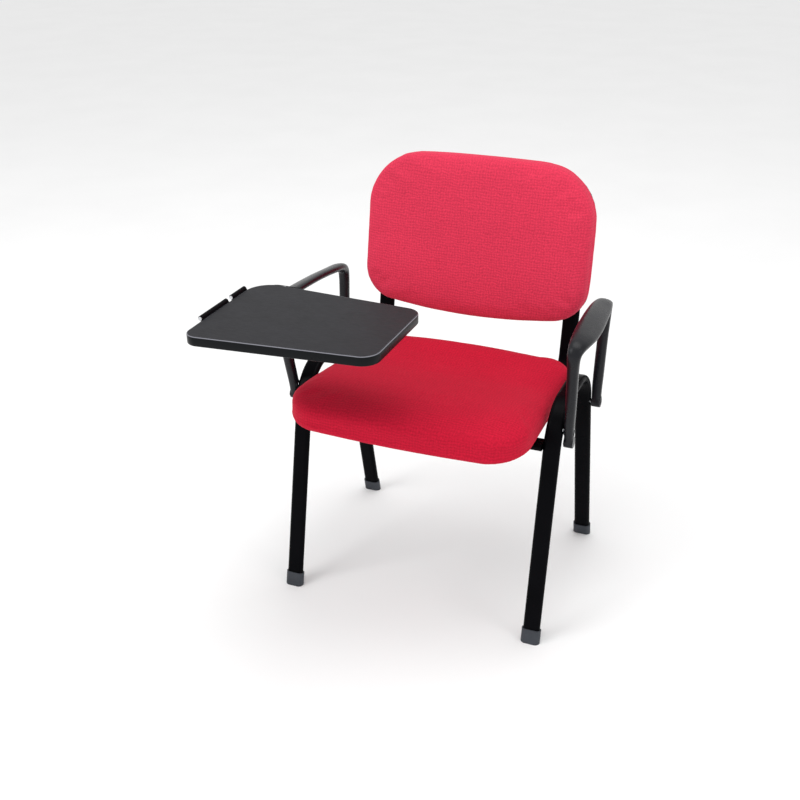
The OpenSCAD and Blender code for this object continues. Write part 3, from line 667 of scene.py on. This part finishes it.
def grained(name, colour, rough, grain, strength, shine=0.3):
    """Moulded plastic with a fine leather grain."""
    nodes = Nodes(name)
    dark, light = spread(colour, 0.18)
    nodes.feed("Base Color", nodes.ramp(nodes.noise(40, detail=4), ((0.3, dark), (0.7, light))))
    gloss = nodes.plus(rough - 0.05, nodes.noise(60, detail=2), 0.1)
    nodes.feed("Roughness", gloss)
    height = nodes.plus(nodes.cells(grain), nodes.noise(grain * 0.6, detail=3), 0.5)
    nodes.bump(height, strength=strength, distance=0.0005, rounding=2.5)
    nodes.set(Specular_IOR_Level=shine)
    return nodes.material


def banded(name, colour, painted_highlight):
    """Black edge band: smooth plastic whose rounded upper edge carries a painted highlight in a
    lighter colour.
    """
    nodes = Nodes(name)
    facing = nodes.tree.nodes.new("ShaderNodeSeparateXYZ")
    nodes.link(nodes.coords.outputs["Normal"], facing.inputs[0])
    # Painted highlight: where the normal faces partly up, on the rounded upper edge, the colour turns
    # lighter
    uneven = nodes.plus(facing.outputs[2], nodes.noise(60, detail=3), 0.1)
    stops = ((0.30, colour), (0.50, painted_highlight), (0.85, painted_highlight), (1.0, colour))
    nodes.feed("Base Color", nodes.ramp(uneven, stops))
    nodes.feed("Roughness", nodes.plus(0.22, nodes.noise(45, detail=3), 0.14))
    nodes.bump(nodes.noise(900, detail=2), strength=0.04, distance=0.0003)
    nodes.set(Specular_IOR_Level=0.12)
    return nodes.material


def laminate(name, colour):
    """Board laminate: charcoal with a cloudy mottle, scuffs and a faint texture."""
    nodes = Nodes(name)
    dark, light = spread(colour, 0.30)
    broad = nodes.math("MULTIPLY", nodes.noise(22, detail=6, rough=0.65), 0.7)
    cloud = nodes.plus(broad, nodes.noise(900, detail=2), 0.3)
    nodes.feed("Base Color", nodes.ramp(cloud, ((0.32, dark), (0.5, colour), (0.68, light))))
    scuffs = nodes.noise(70, detail=4, rough=0.6, stretch_by=(1, 6, 1))
    nodes.feed("Roughness", nodes.plus(0.40, scuffs, 0.2))
    nodes.bump(nodes.noise(1400, detail=2), strength=0.10, distance=0.0003)
    nodes.set(Specular_IOR_Level=0.22)
    return nodes.material


def wood(name, colour):
    """Plywood: grain that runs across the chair, with thin plies."""
    nodes = Nodes(name)
    dark, light = spread(colour, 0.28)
    grain = nodes.noise(60, detail=6, rough=0.6, stretch_by=(0.12, 1.6, 3))
    nodes.feed("Base Color", nodes.ramp(grain, ((0.3, dark), (0.55, colour), (0.75, light))))
    nodes.bump(grain, strength=0.2, distance=0.0006)
    nodes.set(Roughness=0.62)
    return nodes.material


def metal(name, colour, rough, streaks):
    """Plated metal with fine streaks and slightly cloudy plating."""
    nodes = Nodes(name)
    dark, light = spread(colour, 0.12)
    nodes.feed("Base Color", nodes.ramp(nodes.noise(120, detail=3), ((0.3, dark), (0.7, light))))
    wear = nodes.noise(300, detail=3, rough=0.6, stretch_by=streaks)
    nodes.feed("Roughness", nodes.plus(rough - 0.08, wear, 0.2))
    nodes.bump(wear, strength=0.08, distance=0.0003)
    nodes.set(Metallic=1.0)
    return nodes.material


MATERIALS = {
    "frame_paint": coated("frame_paint", (0.0022, 0.0022, 0.003), 0.28),
    "bracket_paint": coated("bracket_paint", (0.0032, 0.0032, 0.004), 0.34),
    "black_screws": coated("black_screws", (0.016, 0.016, 0.018), 0.42, 500, 0.05),
    "foot_plastic": grained("foot_plastic", (0.040, 0.045, 0.055), 0.55, 900, 0.12),
    "arm_plastic": grained("arm_plastic", (0.007, 0.0075, 0.010), 0.28, 800, 0.22, 0.24),
    "shell_plastic": grained("shell_plastic", (0.014, 0.014, 0.016), 0.52, 700, 0.28, 0.2),
    "bumper_rubber": grained("bumper_rubber", (0.018, 0.018, 0.018), 0.75, 1200, 0.10),
    # The band's second colour is a painted highlight for its rounded upper edge
    "tablet_band": banded("tablet_band", (0.004, 0.005, 0.006), (0.22, 0.22, 0.25)),
    "tablet_laminate": laminate("tablet_laminate", (0.010, 0.010, 0.013)),
    "plywood": wood("plywood", (0.52, 0.36, 0.20)),
    "seat_fabric": woven("seat_fabric", (0.52, 0.0080, 0.032)),
    "back_fabric": woven("back_fabric", (0.65, 0.037, 0.083)),
    "zinc_steel": metal("zinc_steel", (0.62, 0.63, 0.65), 0.32, (1, 1, 6)),
    "brass_insert": metal("brass_insert", (0.72, 0.50, 0.20), 0.30, (1, 1, 6)),
}


def dress(obj, slot):
    """Gives obj the material called slot and no other."""
    obj.data.materials.clear()
    obj.data.materials.append(MATERIALS[slot])


# ---------------------------------------------------------------- the chair

for part in frame["record"]["subparts"]:
    node_object = frame["nodes"][part["node"]]
    for material_slot in node_object.material_slots:
        material_slot.material = MATERIALS[part["material_slot"]]

new_pieces = (
    (cushion("seat_pad", "seat_cushion", seat_rings(), seat_held), "seat_fabric"),
    (cushion("back_pad", "back_cushion", back_rings(), back_held), "back_fabric"),
    (armrest(1, "arm_left", "armrest_left"), "arm_plastic"),
    (armrest(-1, "arm_right", "armrest_right"), "arm_plastic"),
    (edge_band(), "tablet_band"),
)
for piece, slot_name in new_pieces:
    dress(piece, slot_name)

# ---------------------------------------------------------------- floor, light and camera


def floor():
    """A wide pale floor that takes the chair's shadow."""
    half = FLOOR_SIZE / 2 / MM
    corners = [(-half, -half, 0), (half, -half, 0), (half, half, 0), (-half, half, 0)]
    obj = mesh_object("floor", corners, [(0, 1, 2, 3)], smooth=False)
    nodes = Nodes("floor_paint")
    stops = ((0.3, FLOOR_WHITES[0]), (0.7, FLOOR_WHITES[1]))
    nodes.feed("Base Color", nodes.ramp(nodes.noise(3, detail=2), stops))
    nodes.set(Roughness=0.9)
    nodes.set(Specular_IOR_Level=0.1)
    obj.data.materials.append(nodes.material)


def soft_light(name, place, size, watts):
    """A square area light that looks at the middle of the chair."""
    data = bpy.data.lights.new(name, "AREA")
    data.energy = watts
    data.size = size
    obj = bpy.data.objects.new(name, data)
    obj.location = place
    obj.rotation_euler = (Vector(LIGHT_AIM) - Vector(place)).to_track_quat("-Z", "Y").to_euler()
    bpy.context.scene.collection.objects.link(obj)


def camera():
    """The camera that sees the chair as the photo does."""
    azimuth = math.radians(CAMERA_AZIMUTH)
    elevation = math.radians(CAMERA_ELEVATION)
    roll = math.radians(CAMERA_ROLL)
    level = math.cos(elevation)
    back = Vector((math.sin(azimuth) * level, -math.cos(azimuth) * level, math.sin(elevation)))
    right = Vector((math.cos(azimuth), math.sin(azimuth), 0))
    up = back.cross(right)
    turned_right = right * math.cos(roll) + up * math.sin(roll)
    turned_up = up * math.cos(roll) - right * math.sin(roll)
    data = bpy.data.cameras.new("camera")
    data.lens = CAMERA_LENS
    data.sensor_width = CAMERA_SENSOR_W
    obj = bpy.data.objects.new("camera", data)
    turn = Matrix((turned_right, turned_up, back)).transposed()
    obj.matrix_world = Matrix.Translation(CAMERA_AT) @ turn.to_4x4()
    bpy.context.scene.collection.objects.link(obj)
    bpy.context.scene.camera = obj


floor()
for light in LIGHTS:
    soft_light(*light)
camera()
world = bpy.data.worlds.new("studio")
world.use_nodes = True
world.node_tree.nodes["Background"].inputs["Color"].default_value = (1, 1, 1, 1)
world.node_tree.nodes["Background"].inputs["Strength"].default_value = SKY_STRENGTH
bpy.context.scene.world = world
bpy.context.scene.view_settings.view_transform = "Standard"
